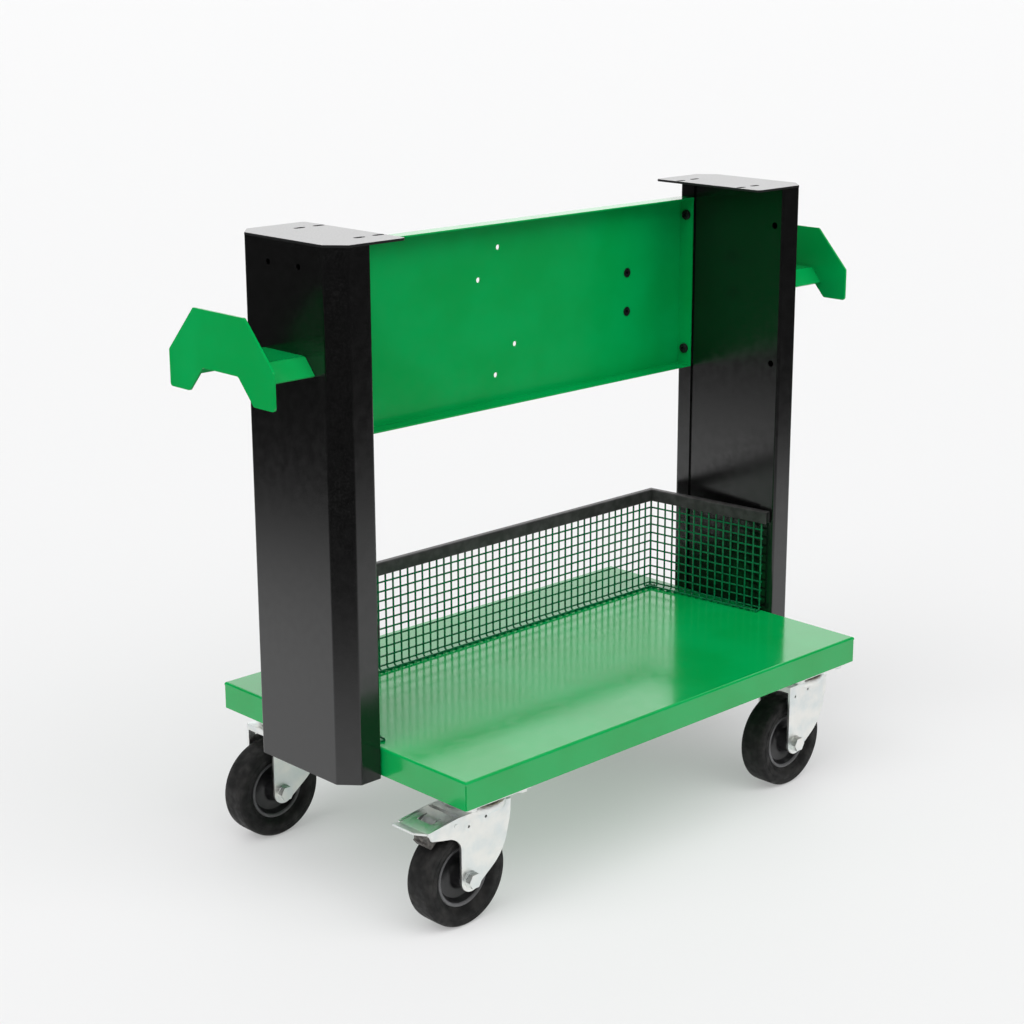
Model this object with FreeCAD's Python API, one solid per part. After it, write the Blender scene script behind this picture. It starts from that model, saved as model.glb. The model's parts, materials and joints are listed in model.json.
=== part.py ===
import FreeCAD, Part
import math
import os

# Workshop trolley: a folded deck on four swivel casters, a folded column with a slotted top
# plate at each end, a tool panel bolted between the columns, a wire guard on the deck and a
# hose hook on the outside of each column.
# All sizes are in millimetres. The origin is on the floor under the middle of the deck;
# +X runs along the deck, +Y to the back (where the panel is), +Z up.
# Left-hand pieces are drawn at negative X and mirrored to make the right-hand ones.

V = FreeCAD.Vector
X_AXIS = V(1, 0, 0)
Y_AXIS = V(0, 1, 0)
Z_AXIS = V(0, 0, 1)

# ---- deck -------------------------------------------------------------------------------
DECK_L = 720.0
DECK_D = 460.0
DECK_TOP = 200.0
DECK_BOTTOM = 165.0
DECK_T = 2.0
DECK_BEND = 3.0
SEAM = 1.2
CHANNEL_W = 105.0
CHANNEL_T = 3.0

# ---- columns and top plates -------------------------------------------------------------
HALF_L = DECK_L / 2
COL_W = 52.0
COL_FRONT = -83.0
COL_BACK = 102.0
COL_MID = (COL_FRONT + COL_BACK) / 2
COL_OUT = HALF_L + COL_W
COL_BOTTOM = 162.0
TOTAL_H = 800.0
TOP_T = 3.0
COL_TOP = TOTAL_H - TOP_T
COL_T = 2.5
COL_BEND = 4.0
CHAMFER_X = 20.0
CHAMFER_Y = 22.0
LIP_W = 25.0
COVER_T = 2.0
COVER_LAP = 3.0
TOP_OVERHANG = 52.0
TOP_CORNER = 6.0
SLOT_L = 16.0
SLOT_W = 7.0
SLOT_X = 331.0
SLOT_PITCH_X = 28.0
SLOT_PITCH_Y = 108.0
SIDE_HOLE_R = 3.5
SIDE_HOLE_PITCH = 55.0
SIDE_HOLE_Z = 771.0

# ---- tool panel -------------------------------------------------------------------------
PANEL_BOTTOM = 532.0
PANEL_H = 240.0
PANEL_DEPTH = 25.0
PANEL_T = 2.0
PANEL_HOLE_R = 3.5
PANEL_HOLES = [(5.0, 737.0), (-30.0, 698.0), (35.0, 606.0), (0.0, 569.0)]
INSERT_X = 249.5
INSERT_Z = (622.0, 676.0)
INSERT_R = 4.5
LIP_HOLE_IN = 14.0
LIP_HOLE_PITCH = 190.0

# ---- fasteners --------------------------------------------------------------------------
M8_R = 4.0
M8_HOLE_R = 4.5
M8_FLATS = 13.0
M8_HEAD = 5.3
M8_NUT = 6.5
M6_R = 3.0
M6_HOLE_R = 3.3
M6_FLATS = 10.0
M6_HEAD = 4.0
M6_NUT = 5.0
PANEL_HEAD_R = 7.0
PANEL_HEAD = 4.4
THREAD_GAP = 0.05
DECK_BOLT_Z = 182.0

# ---- wire guard -------------------------------------------------------------------------
PITCH = 12.7
WIRE = 2.0
MESH_T = 3.0
GUARD_ROWS = 11
BACK_COLS = 52
SIDE_COLS = 15
GUARD_Y = 122.0
GUARD_FRONT_X = 353.0
GUARD_FLANGE = 5.0
TRIM_TOP = 348.0
TRIM_H = 17.0
TRIM_W = 10.0
TRIM_T = 1.5
TRIM_OVERRUN_LEFT = 1.0
TRIM_OVERRUN_RIGHT = 9.0
JOIN_GAP = 0.3

# ---- hose hooks -------------------------------------------------------------------------
HOOK_OUT = 90.0
HOOK_T = 3.0
HOOK_MID = 12.0
HOOK_HALF = [(47.0, 727.0), (97.0, 673.0), (97.0, 630.0), (60.0, 630.0), (33.0, 660.0)]
HOOK_CORNER = 4.0
SADDLE_TOP = 671.0
SADDLE_HALF = 38.0
SADDLE_WING_Y = 17.0
SADDLE_WING_Z = 20.0
FOOT_HALF = 28.0
FOOT_BOTTOM = 650.0
FOOT_HOLE_Y = 14.0
FOOT_HOLE_Z = 659.0

# ---- casters ----------------------------------------------------------------------------
CASTER_X = 300.0
CASTER_Y = 178.0
WHEEL_R = 62.5
TRAIL = 30.0
PLATE_L = 105.0
PLATE_D = 98.0
PLATE_T = 3.0
PLATE_CORNER = 8.0
PLATE_PITCH_X = 80.0
PLATE_PITCH_Y = 76.0
PLATE_BOTTOM = DECK_BOTTOM - PLATE_T
CUP_BOTTOM = 158.0
CUP_IN = 27.0
CUP_OUT = 38.0
RACE_R = 32.0
RACE_BALL = 3.0
RACE_Z = 154.7
KING_R = 6.0
KING_HEAD_Z = 134.7
KING_HEAD = 8.0
KING_FLATS = 19.0
CROWN_TOP = 146.0
CROWN_T = 3.0
CROWN_RING = 5.5
LEG_OUT = 27.0
LEG_T = 3.0
LEG_LEFT = -45.0
LEG_RIGHT = 34.0
LEG_SHOULDER = (33.0, 126.0)
LEG_ELBOW = (22.0, 82.0)
LEG_BEND = 60.0
EAR_OUTLINE = [(-45.0, 106.0), (-46.5, 111.0), (-50.0, 116.0), (-55.0, 120.0), (-61.0, 122.7),
               (-77.0, 126.0), (-90.0, 129.0), (-95.0, 140.5), (-50.0, 146.0), (-45.0, 146.0)]
BOSS_R = 15.0
APRON_BOTTOM = 138.0
LEG_HOLE_R = 1.8
LEG_HOLES = [(-33.0, 130.5), (-6.0, 135.0)]
AXLE_R = 5.0
AXLE_HOLE_R = 5.1
AXLE_FLATS = 17.0
AXLE_HEAD = 6.4
AXLE_NUT = 8.0
WASHER_R = 10.5
WASHER_T = 1.5
SLEEVE_R = 7.5
SLEEVE_HALF = 23.9
RUN_GAP = 0.05
RIM_R = 41.0
TYRE_BORE = RIM_R + THREAD_GAP
RIM_HALF = [(SLEEVE_R + RUN_GAP, 22.0), (13.5, 22.0), (15.5, 5.0), (35.0, 3.5), (37.0, 17.5),
            (RIM_R, 17.5)]
TYRE_HALF = [(TYRE_BORE, 16.5), (44.0, 18.3), (49.0, 18.75), (55.0, 18.75), (59.0, 17.2),
             (61.3, 14.0), (62.3, 9.0), (WHEEL_R, 3.0)]
PEDAL_X = -53.0
PEDAL_Z = 137.0
PEDAL_PIN_R = 2.5
PEDAL_HALF = 23.5
PEDAL_T = 2.5
PEDAL_ROOT = (-52.0, 146.6)
PEDAL_CREASE = (-95.0, 139.3)
PEDAL_TIP = (-112.0, 145.0)
PEDAL_NOSE = 19.0
PEDAL_CORNER = 5.0
PEDAL_WINDOW = (-78.5, -63.5, 13.0)
PEDAL_CHEEK = [(-92.0, 138.5), (-92.0, 134.0), (-66.0, 131.0), (-47.5, 131.0), (-47.5, 140.0),
               (-52.0, 144.5)]
TONGUE_END = (-78.0, 137.0)
TONGUE_BEND = 5.0
TONGUE_HALF = 10.5
SHOE_GAP = 6.5
SHOE_ANGLE = 129.0
SHOE_T = 8.0
SHOE_HALF_L = 8.0
SHOE_HALF_W = 13.0
STEM_X = (-83.0, -80.0)
STEM_BOTTOM = 119.0

CASTERS = {
    "front_left": (-CASTER_X, -CASTER_Y),
    "front_right": (CASTER_X, -CASTER_Y),
    "back_left": (-CASTER_X, CASTER_Y),
    "back_right": (CASTER_X, CASTER_Y),
}
BRAKED = ("front_left", "back_right")


# ---- shape helpers ----------------------------------------------------------------------
def box(x0, x1, y0, y1, z0, z1):
    return Part.makeBox(x1 - x0, y1 - y0, z1 - z0, V(x0, y0, z0))


def prism(points, direction):
    """Extrude the closed polygon through the given 3-D points along a vector."""
    closed = list(points) + [points[0]]
    return Part.Face(Part.makePolygon(closed)).extrude(direction)


def prism_xy(points, z0, z1):
    return prism([V(x, y, z0) for x, y in points], V(0, 0, z1 - z0))


def prism_xz(points, y0, y1):
    return prism([V(x, y0, z) for x, z in points], V(0, y1 - y0, 0))


def prism_yz(points, x0, x1):
    return prism([V(x0, y, z) for y, z in points], V(x1 - x0, 0, 0))


def cylinder(radius, start, end):
    axis = end.sub(start)
    return Part.makeCylinder(radius, axis.Length, start, axis)


def tube(outer, inner, start, end):
    return cylinder(outer, start, end).cut(cylinder(inner, start, end))


def hexagon(flats, start, end):
    """Hexagonal bar of a given width across flats between two points."""
    axis = end.sub(start)
    radius = flats / math.sqrt(3)
    corners = []
    for i in range(6):
        angle = math.radians(60 * i)
        corners.append(V(radius * math.cos(angle), radius * math.sin(angle), 0))
    bar = prism(corners, V(0, 0, axis.Length))
    bar.Placement = FreeCAD.Placement(start, FreeCAD.Rotation(Z_AXIS, axis))
    return bar


def revolve_y(profile, x, y, z):
    """Turn a closed (radius, offset along Y) profile about the Y axis through a point."""
    points = [V(x + r, y + offset, z) for r, offset in profile]
    face = Part.Face(Part.makePolygon(points + [points[0]]))
    return face.revolve(V(x, y, z), Y_AXIS, 360)


def strip(points, thickness):
    """Outline of a sheet folded along a polyline, with its thickness on the left-hand side."""
    normals = []
    for a, b in zip(points, points[1:]):
        length = math.hypot(b[0] - a[0], b[1] - a[1])
        normals.append((-(b[1] - a[1]) / length, (b[0] - a[0]) / length))
    inner = []
    for i, point in enumerate(points):
        first = normals[max(i - 1, 0)]
        second = normals[min(i, len(normals) - 1)]
        scale = thickness / (1 + first[0] * second[0] + first[1] * second[1])
        inner.append((point[0] + (first[0] + second[0]) * scale,
                      point[1] + (first[1] + second[1]) * scale))
    return points, inner


def round_edges(solid, direction, places, radius):
    """Fillet the edges that run along a direction through the given cross-section places."""
    chosen = []
    for edge in solid.Edges:
        start, end = edge.firstVertex().Point, edge.lastVertex().Point
        along = end.sub(start)
        if along.Length < 1 or along.cross(direction).Length > 1e-6 * along.Length:
            continue
        for place in places:
            offset = start.sub(place)
            if offset.sub(direction * offset.dot(direction)).Length < 0.01:
                chosen.append(edge)
    return solid.makeFillet(radius, chosen)


def mirrored(shape):
    return shape.mirror(V(0, 0, 0), X_AXIS)


def bolt(seat, direction, radius, length, flats, head):
    """Hexagon-head bolt: the head stands behind the seat, the shank runs ahead of it."""
    shank = cylinder(radius, seat, seat + direction * length)
    return hexagon(flats, seat - direction * head, seat).fuse(shank).removeSplitter()


def nut(seat, direction, radius, flats, height):
    end = seat + direction * height
    return hexagon(flats, seat, end).cut(cylinder(radius + THREAD_GAP, seat, end))


def slot_xy(x, y, z0, z1):
    half = (SLOT_L - SLOT_W) / 2
    body = box(x - half, x + half, y - SLOT_W / 2, y + SLOT_W / 2, z0, z1)
    for end in (x - half, x + half):
        body = body.fuse(cylinder(SLOT_W / 2, V(end, y, z0), V(end, y, z1)))
    return body


# ---- deck -------------------------------------------------------------------------------
def folded_tray(x0, x1, y0, y1, z0, z1, t, bend):
    """Sheet tray, open downwards, with its top edges bent to a radius."""
    outer = box(x0, x1, y0, y1, z0, z1)
    top = [e for e in outer.Edges if e.BoundBox.ZMin > z1 - 0.01]
    outer = outer.makeFillet(bend, top)
    inner = box(x0 + t, x1 - t, y0 + t, y1 - t, z0 - t, z1 - t)
    return outer.cut(inner)


def deck_bolt_places():
    return [(COL_FRONT + LIP_HOLE_IN, DECK_BOLT_Z), (COL_BACK - LIP_HOLE_IN, DECK_BOLT_Z)]


def deck():
    half_d = DECK_D / 2
    tray = folded_tray(-HALF_L, HALF_L, -half_d, half_d, DECK_BOTTOM, DECK_TOP, DECK_T, DECK_BEND)
    for sx in (-1, 1):
        for sy in (-1, 1):
            x = sx * (HALF_L - SEAM / 2)
            y = sy * (half_d - SEAM / 2)
            top = DECK_TOP - DECK_BEND - SEAM
            tray = tray.cut(box(x - SEAM / 2, x + SEAM / 2, y - SEAM / 2, y + SEAM / 2,
                                DECK_BOTTOM - 1, top))
        for y, z in deck_bolt_places():
            tray = tray.cut(cylinder(M8_HOLE_R, V(sx * (HALF_L - 10), y, z), V(sx * (HALF_L + 10), y, z)))
    return tray


def caster_channel():
    """Cross channel welded under the deck, open upwards, that carries two casters."""
    x0, x1 = -CASTER_X - CHANNEL_W / 2, -CASTER_X + CHANNEL_W / 2
    half = DECK_D / 2 - DECK_T - 0.5
    top = DECK_TOP - DECK_T
    section = [(x0, top), (x0, DECK_BOTTOM), (x1, DECK_BOTTOM), (x1, top)]
    outer, inner = strip(section, CHANNEL_T)
    channel = prism_xz(outer + inner[::-1], -half, half)
    for x, y in caster_bolt_places():
        if x < 0:
            channel = channel.cut(cylinder(M8_HOLE_R, V(x, y, DECK_BOTTOM - 1), V(x, y, DECK_BOTTOM + 9)))
    return channel


# ---- columns ----------------------------------------------------------------------------
def column_section():
    """Outside of the folded sheet, from the edge of the back lip round to the front lip."""
    return [
        (-HALF_L, COL_BACK - LIP_W),
        (-HALF_L, COL_BACK),
        (-COL_OUT + CHAMFER_X, COL_BACK),
        (-COL_OUT, COL_BACK - CHAMFER_Y),
        (-COL_OUT, COL_FRONT + CHAMFER_Y),
        (-COL_OUT + CHAMFER_X, COL_FRONT),
        (-HALF_L, COL_FRONT),
        (-HALF_L, COL_FRONT + LIP_W),
    ]


def lip_hole_places():
    middle = PANEL_BOTTOM + PANEL_H / 2
    rows = (middle - LIP_HOLE_PITCH / 2, middle + LIP_HOLE_PITCH / 2)
    columns = (COL_FRONT + LIP_HOLE_IN, COL_BACK - LIP_HOLE_IN)
    return [(y, z) for y in columns for z in rows]


def foot_hole_places():
    return [(HOOK_MID - FOOT_HOLE_Y, FOOT_HOLE_Z), (HOOK_MID + FOOT_HOLE_Y, FOOT_HOLE_Z)]


def column():
    outer, inner = strip(column_section(), COL_T)
    body = prism_xy(outer + inner[::-1], COL_BOTTOM, COL_TOP)
    body = round_edges(body, Z_AXIS, [V(x, y, 0) for x, y in outer[1:-1]], COL_BEND)
    body = round_edges(body, Z_AXIS, [V(x, y, 0) for x, y in inner[1:-1]], COL_BEND - COL_T)
    for y, z in lip_hole_places() + deck_bolt_places():
        body = body.cut(cylinder(M8_HOLE_R, V(-HALF_L - 10, y, z), V(-HALF_L + 10, y, z)))
    for y, z in foot_hole_places():
        body = body.cut(cylinder(M6_HOLE_R, V(-COL_OUT - 5, y, z), V(-COL_OUT + 5, y, z)))
    for side in (-1, 1):
        y, z = COL_MID + side * SIDE_HOLE_PITCH / 2, SIDE_HOLE_Z
        body = body.cut(cylinder(SIDE_HOLE_R, V(-COL_OUT - 5, y, z), V(-COL_OUT + 5, y, z)))
    return body


def column_cover():
    """Flat sheet that closes the column behind its two lips."""
    x1 = -HALF_L - COL_T
    return box(x1 - COVER_T, x1, COL_FRONT + LIP_W - COVER_LAP, COL_BACK - LIP_W + COVER_LAP,
               COL_BOTTOM + 6, COL_TOP)


def top_plate():
    x_in = -HALF_L + TOP_OVERHANG
    outline = [
        (-COL_OUT, COL_FRONT + CHAMFER_Y),
        (-COL_OUT, COL_BACK - CHAMFER_Y),
        (-COL_OUT + CHAMFER_X, COL_BACK),
        (x_in, COL_BACK),
        (x_in, COL_FRONT),
        (-COL_OUT + CHAMFER_X, COL_FRONT),
    ]
    plate = prism_xy(outline, COL_TOP, TOTAL_H)
    plate = round_edges(plate, Z_AXIS, [V(x_in, COL_FRONT, 0), V(x_in, COL_BACK, 0)], TOP_CORNER)
    for sx in (-1, 1):
        for sy in (-1, 1):
            x = -SLOT_X + sx * SLOT_PITCH_X / 2
            y = COL_MID + sy * SLOT_PITCH_Y / 2
            plate = plate.cut(slot_xy(x, y, COL_TOP - 1, TOTAL_H + 1))
    return plate


# ---- tool panel -------------------------------------------------------------------------
def tool_panel():
    """Tray on edge: a back sheet with a forward flange on all four sides."""
    top = PANEL_BOTTOM + PANEL_H
    front = COL_BACK - PANEL_DEPTH
    outer = box(-HALF_L, HALF_L, front, COL_BACK, PANEL_BOTTOM, top)
    back_edges = [e for e in outer.Edges if e.BoundBox.YMin > COL_BACK - 0.01]
    outer = outer.makeFillet(DECK_BEND, back_edges)
    tray = outer.cut(box(-HALF_L + PANEL_T, HALF_L - PANEL_T, front - PANEL_T, COL_BACK - PANEL_T,
                         PANEL_BOTTOM + PANEL_T, top - PANEL_T))
    holes = [(x, z, PANEL_HOLE_R) for x, z in PANEL_HOLES]
    holes += [(INSERT_X, z, INSERT_R) for z in INSERT_Z]
    for x, z, radius in holes:
        tray = tray.cut(cylinder(radius, V(x, COL_BACK - 10, z), V(x, COL_BACK + 10, z)))
    for y, z in lip_hole_places():
        if y > 0:
            tray = tray.cut(cylinder(M8_HOLE_R, V(-HALF_L - 10, y, z), V(-HALF_L + 10, y, z)))
            tray = tray.cut(cylinder(M8_HOLE_R, V(HALF_L - 10, y, z), V(HALF_L + 10, y, z)))
    return tray


def panel_inserts():
    """Blind threaded inserts pressed into the panel from the front."""
    face = COL_BACK - PANEL_T
    pieces = []
    for z in INSERT_Z:
        flange = cylinder(INSERT_R + 2, V(INSERT_X, face - 1, z), V(INSERT_X, face, z))
        barrel = cylinder(INSERT_R - 0.1, V(INSERT_X, face - 1, z), V(INSERT_X, face + 12, z))
        thread = cylinder(M6_R - 0.5, V(INSERT_X, face - 2, z), V(INSERT_X, face + 13, z))
        pieces.append(flange.fuse(barrel).cut(thread).removeSplitter())
    return Part.makeCompound(pieces)


def panel_bolts():
    """Round-head screws through the panel's side flanges into the column lips."""
    pieces = []
    seat_x = -HALF_L + PANEL_T
    length = PANEL_T + COL_T + M8_NUT
    for y, z in lip_hole_places():
        if y < 0:
            continue
        seat = V(seat_x, y, z)
        head = cylinder(PANEL_HEAD_R, seat, seat + X_AXIS * PANEL_HEAD)
        rim = [e for e in head.Edges if e.BoundBox.XMin > seat_x + PANEL_HEAD - 0.01]
        head = head.makeFillet(PANEL_HEAD / 2, rim)
        head = head.cut(hexagon(5.0, seat + X_AXIS * (PANEL_HEAD - 2.2), seat + X_AXIS * (PANEL_HEAD + 1)))
        left = head.fuse(cylinder(M8_R, seat - X_AXIS * length, seat)).removeSplitter()
        pieces += [left, mirrored(left)]
    return Part.makeCompound(pieces)


# ---- shared fasteners -------------------------------------------------------------------
def caster_bolt_places():
    places = []
    for x, y in CASTERS.values():
        for sx in (-1, 1):
            for sy in (-1, 1):
                places.append((x + sx * PLATE_PITCH_X / 2, y + sy * PLATE_PITCH_Y / 2))
    return places


def m8_bolts():
    """Bolts that hold the caster plates to the channels and the columns to the deck."""
    pieces = []
    for x, y in caster_bolt_places():
        length = PLATE_T + CHANNEL_T + M8_NUT + 1
        pieces.append(bolt(V(x, y, PLATE_BOTTOM), Z_AXIS, M8_R, length, M8_FLATS, M8_HEAD))
    for y, z in deck_bolt_places():
        seat = V(-HALF_L + DECK_T, y, z)
        length = DECK_T + COL_T + M8_NUT + 1
        left = bolt(seat, X_AXIS * -1, M8_R, length, M8_FLATS, M8_HEAD)
        pieces += [left, mirrored(left)]
    return Part.makeCompound(pieces)


def m8_nuts():
    pieces = []
    for x, y in caster_bolt_places():
        pieces.append(nut(V(x, y, DECK_BOTTOM + CHANNEL_T), Z_AXIS, M8_R, M8_FLATS, M8_NUT))
    lips = deck_bolt_places() + [place for place in lip_hole_places() if place[0] > 0]
    for y, z in lips:
        left = nut(V(-HALF_L - COL_T, y, z), X_AXIS * -1, M8_R, M8_FLATS, M8_NUT)
        pieces += [left, mirrored(left)]
    return Part.makeCompound(pieces)


# ---- wire guard -------------------------------------------------------------------------
def grid(columns, rows, pitch, row_pitch, x_edge, top):
    """Flat grid of square openings in the XZ plane, from x = 0 and z = 0, as a face."""
    width = columns * pitch
    rim = [V(-x_edge, 0, 0), V(width + x_edge, 0, 0), V(width + x_edge, 0, top), V(-x_edge, 0, top)]
    wires = [Part.makePolygon(rim + [rim[0]])]
    half = WIRE / 2
    for i in range(columns):
        for j in range(rows):
            x0, x1 = i * pitch + half, (i + 1) * pitch - half
            z0, z1 = j * row_pitch + half, (j + 1) * row_pitch - half
            cell = [V(x0, 0, z0), V(x0, 0, z1), V(x1, 0, z1), V(x1, 0, z0)]
            wires.append(Part.makePolygon(cell + [cell[0]]))
    return Part.Face(wires)


def guard_wall(columns):
    """Mesh wall from the deck to inside the trim, centred on y = 0, from x = 0."""
    top = TRIM_TOP - TRIM_T - DECK_TOP - WIRE
    wall = grid(columns, GUARD_ROWS, PITCH, PITCH, WIRE / 2, top)
    wall = wall.extrude(V(0, MESH_T, 0))
    wall.translate(V(0, -MESH_T / 2, DECK_TOP + WIRE))
    return wall


def guard_flange(columns):
    """Lowest row of the mesh, bent in over the deck (towards negative Y)."""
    face = grid(columns, 1, PITCH, GUARD_FLANGE, WIRE / 2, GUARD_FLANGE + WIRE / 2)
    flange = face.extrude(V(0, WIRE, 0))
    flange.rotate(V(0, 0, 0), X_AXIS, 90)
    flange.translate(V(0, 0, DECK_TOP))
    return flange


def guard_back():
    wall = guard_wall(BACK_COLS)
    flange = guard_flange(BACK_COLS)
    both = Part.makeCompound([wall, flange])
    both.translate(V(-BACK_COLS * PITCH / 2, GUARD_Y, 0))
    return both


def guard_corner_x():
    return BACK_COLS * PITCH / 2


def splay():
    """Angle that each side wall opens out by, towards the front."""
    return math.asin((GUARD_FRONT_X - guard_corner_x()) / (SIDE_COLS * PITCH))


def guard_front_y():
    return GUARD_Y - SIDE_COLS * PITCH * math.cos(splay())


def guard_left():
    """Side wall from its front end to the corner, just clear of the back wall."""
    wall = guard_wall(SIDE_COLS)
    flange = guard_flange(SIDE_COLS)
    pieces = []
    for piece, depth in ((wall, MESH_T / 2), (flange, GUARD_FLANGE + WIRE / 2)):
        piece.rotate(V(0, 0, 0), Z_AXIS, 90 - math.degrees(splay()))
        piece.translate(V(-GUARD_FRONT_X, guard_front_y(), 0))
        limit = GUARD_Y - depth - JOIN_GAP
        pieces.append(piece.cut(box(-HALF_L, 0, limit, limit + 3 * PITCH, 0, TRIM_TOP)))
    return Part.makeCompound(pieces)


def trim_plan(offset):
    """Plan line of the top trim, moved outwards by an offset, with mitred corners."""
    fronts = []
    for overrun in (TRIM_OVERRUN_LEFT, TRIM_OVERRUN_RIGHT):
        run = SIDE_COLS * PITCH + overrun
        x = guard_corner_x() + run * math.sin(splay())
        fronts.append((x, GUARD_Y - run * math.cos(splay())))
    left, right = fronts
    corners = [(-guard_corner_x(), GUARD_Y), (guard_corner_x(), GUARD_Y)]
    return strip([(-left[0], left[1])] + corners + [right], offset)[1]


def trim_piece(first):
    """One straight run of the trim: an inverted channel over the top edge of the mesh."""
    def run(half, z0, z1):
        outer, inner = trim_plan(half), trim_plan(-half)
        corners = [outer[first], outer[first + 1], inner[first + 1], inner[first]]
        return prism_xy(corners, z0, z1)

    shell = run(TRIM_W / 2, TRIM_TOP - TRIM_H, TRIM_TOP)
    return shell.cut(run(TRIM_W / 2 - TRIM_T, TRIM_TOP - TRIM_H - 1, TRIM_TOP - TRIM_T))


# ---- hose hooks -------------------------------------------------------------------------
def hook_plate():
    """Arched end plate that keeps a coiled hose on the saddle."""
    right = [(HOOK_MID + dy, z) for dy, z in HOOK_HALF]
    left = [(HOOK_MID - dy, z) for dy, z in HOOK_HALF]
    outline = left[::-1] + right
    x0 = -COL_OUT - HOOK_OUT
    plate = prism_yz(outline, x0, x0 + HOOK_T)
    return round_edges(plate, X_AXIS, [V(0, y, z) for y, z in outline], HOOK_CORNER)


def hook_saddle():
    """Bent sheet between column and end plate, with the foot plate welded under it."""
    section = [
        (HOOK_MID + SADDLE_HALF + SADDLE_WING_Y, SADDLE_TOP - SADDLE_WING_Z),
        (HOOK_MID + SADDLE_HALF, SADDLE_TOP),
        (HOOK_MID - SADDLE_HALF, SADDLE_TOP),
        (HOOK_MID - SADDLE_HALF - SADDLE_WING_Y, SADDLE_TOP - SADDLE_WING_Z),
    ]
    outer, inner = strip(section, HOOK_T)
    arch = prism_yz(outer + inner[::-1], -COL_OUT - HOOK_OUT + HOOK_T, -COL_OUT)
    arch = round_edges(arch, X_AXIS, [V(0, y, z) for y, z in outer[1:-1]], HOOK_T * 1.5)
    foot = box(-COL_OUT - HOOK_T, -COL_OUT, HOOK_MID - FOOT_HALF, HOOK_MID + FOOT_HALF,
               FOOT_BOTTOM, SADDLE_TOP - HOOK_T)
    for y, z in foot_hole_places():
        foot = foot.cut(cylinder(M6_HOLE_R, V(-COL_OUT - 5, y, z), V(-COL_OUT + 5, y, z)))
    return Part.makeCompound([arch, foot])


def hook_bolts():
    pieces = []
    length = HOOK_T + COL_T + M6_NUT + 1
    for y, z in foot_hole_places():
        screw = bolt(V(-COL_OUT - HOOK_T, y, z), X_AXIS, M6_R, length, M6_FLATS, M6_HEAD)
        lock = nut(V(-COL_OUT + COL_T, y, z), X_AXIS, M6_R, M6_FLATS, M6_NUT)
        for piece in (screw, lock):
            pieces += [piece, mirrored(piece)]
    return Part.makeCompound(pieces)


# ---- casters ----------------------------------------------------------------------------
# Each caster is drawn about its own swivel axis (x = y = 0), trailing towards -X.
def caster_plate():
    """Top plate with the upper ball track pressed down from it."""
    plate = box(-PLATE_L / 2, PLATE_L / 2, -PLATE_D / 2, PLATE_D / 2, PLATE_BOTTOM, DECK_BOTTOM)
    corners = [V(sx * PLATE_L / 2, sy * PLATE_D / 2, 0) for sx in (-1, 1) for sy in (-1, 1)]
    plate = round_edges(plate, Z_AXIS, corners, PLATE_CORNER)
    cup = tube(CUP_OUT, CUP_IN, V(0, 0, CUP_BOTTOM), V(0, 0, PLATE_BOTTOM))
    plate = plate.fuse(cup).removeSplitter()
    plate = plate.cut(cylinder(KING_R + THREAD_GAP, V(0, 0, CUP_BOTTOM), V(0, 0, DECK_BOTTOM + 1)))
    for sx in (-1, 1):
        for sy in (-1, 1):
            x, y = sx * PLATE_PITCH_X / 2, sy * PLATE_PITCH_Y / 2
            plate = plate.cut(cylinder(M8_HOLE_R, V(x, y, PLATE_BOTTOM - 1), V(x, y, DECK_BOTTOM + 1)))
    return plate


def kingpin():
    foot = V(0, 0, KING_HEAD_Z + KING_HEAD)
    return bolt(foot, Z_AXIS, KING_R, DECK_BOTTOM - foot.z, KING_FLATS, KING_HEAD)


def ball_race():
    return Part.makeTorus(RACE_R, RACE_BALL, V(0, 0, RACE_Z), Z_AXIS)


def leg_outline():
    """Side view of a fork leg above its round axle boss, which it meets at a tangent."""
    dx, dz = LEG_ELBOW[0] + TRAIL, LEG_ELBOW[1] - WHEEL_R
    angle = math.atan2(dz, dx) - math.acos(BOSS_R / math.hypot(dx, dz))
    tangent = (-TRAIL + BOSS_R * math.cos(angle), WHEEL_R + BOSS_R * math.sin(angle))
    return [
        (LEG_RIGHT, CROWN_TOP),
        LEG_SHOULDER,
        LEG_ELBOW,
        tangent,
        (-TRAIL, WHEEL_R),
        (LEG_LEFT, WHEEL_R),
        (LEG_LEFT, CROWN_TOP),
    ]


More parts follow.
